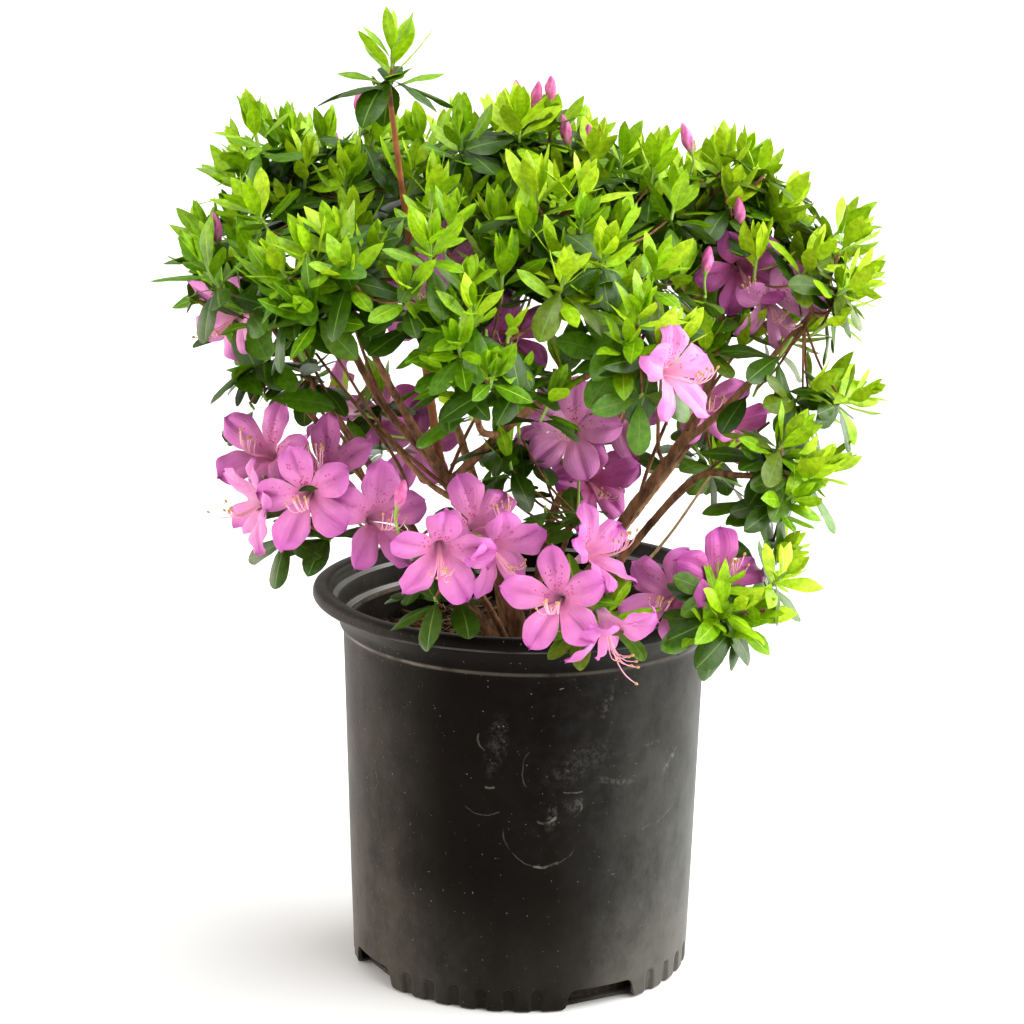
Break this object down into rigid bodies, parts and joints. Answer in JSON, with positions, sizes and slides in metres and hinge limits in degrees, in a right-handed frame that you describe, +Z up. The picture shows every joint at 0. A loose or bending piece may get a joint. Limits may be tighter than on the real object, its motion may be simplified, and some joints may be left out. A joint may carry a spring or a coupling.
{
  "type": "azalea shrub in a pot",
  "caption": "Potted azalea shrub in flower: thin leaning stems and boughs carry separate masses of leaves and open funnel flowers above a round nursery pot.",
  "frame": {"origin": "centre of the pot's flat underside", "axes": "+Z up along the pot's axis, -Y towards the front, +X to the right seen from the front"},
  "size_m": [0.4061, 0.3525, 0.5276],
  "materials": {
    "pot": "satin",
    "soil": "matte",
    "bark": "matte",
    "foliage": "satin",
    "petals": "satin"
  },
  "bodies": {
    "root": {"pot": "pot", "soil": "soil", "trunk": "bark", "bough_leader": "bark", "bough_left_top": "bark", "bough_front_left": "bark", "bough_right_front": "bark", "bough_front_low": "bark", "bough_front_middle": "bark", "bough_top_middle": "bark", "stem_left": "bark", "stem_left_low": "bark", "bough_flower_left": "bark", "stem_right": "bark", "bough_right_outer": "bark", "bough_back_low_right": "bark", "stem_right_low": "bark", "stem_dry": "bark", "stem_middle": "bark", "bough_back_middle": "bark", "bough_inner": "bark", "stem_back": "bark", "bough_back_crown": "bark", "bough_back_low_left": "bark", "stem_low_left": "bark", "stem_low_front": "bark", "stem_low_right": "bark", "leaves_leader": "foliage", "leaves_left_top": "foliage", "leaves_left_outer": "foliage", "leaves_left_low": "foliage", "leaves_front_left": "foliage", "leaves_top_middle": "foliage", "leaves_front_middle": "foliage", "leaves_front_low": "foliage", "leaves_right_front": "foliage", "leaves_top_right": "foliage", "leaves_right_outer": "foliage", "leaves_right_low": "foliage", "leaves_flower_left": "foliage", "leaves_flower_middle": "foliage", "leaves_flower_front": "foliage", "leaves_flower_right": "foliage", "leaves_inner": "foliage", "leaves_back_left": "foliage", "leaves_back_crown": "foliage", "leaves_back_right": "foliage", "leaves_back_middle": "foliage", "leaves_back_low_left": "foliage", "leaves_back_low_right": "foliage"}
  },
  "joints": []
}
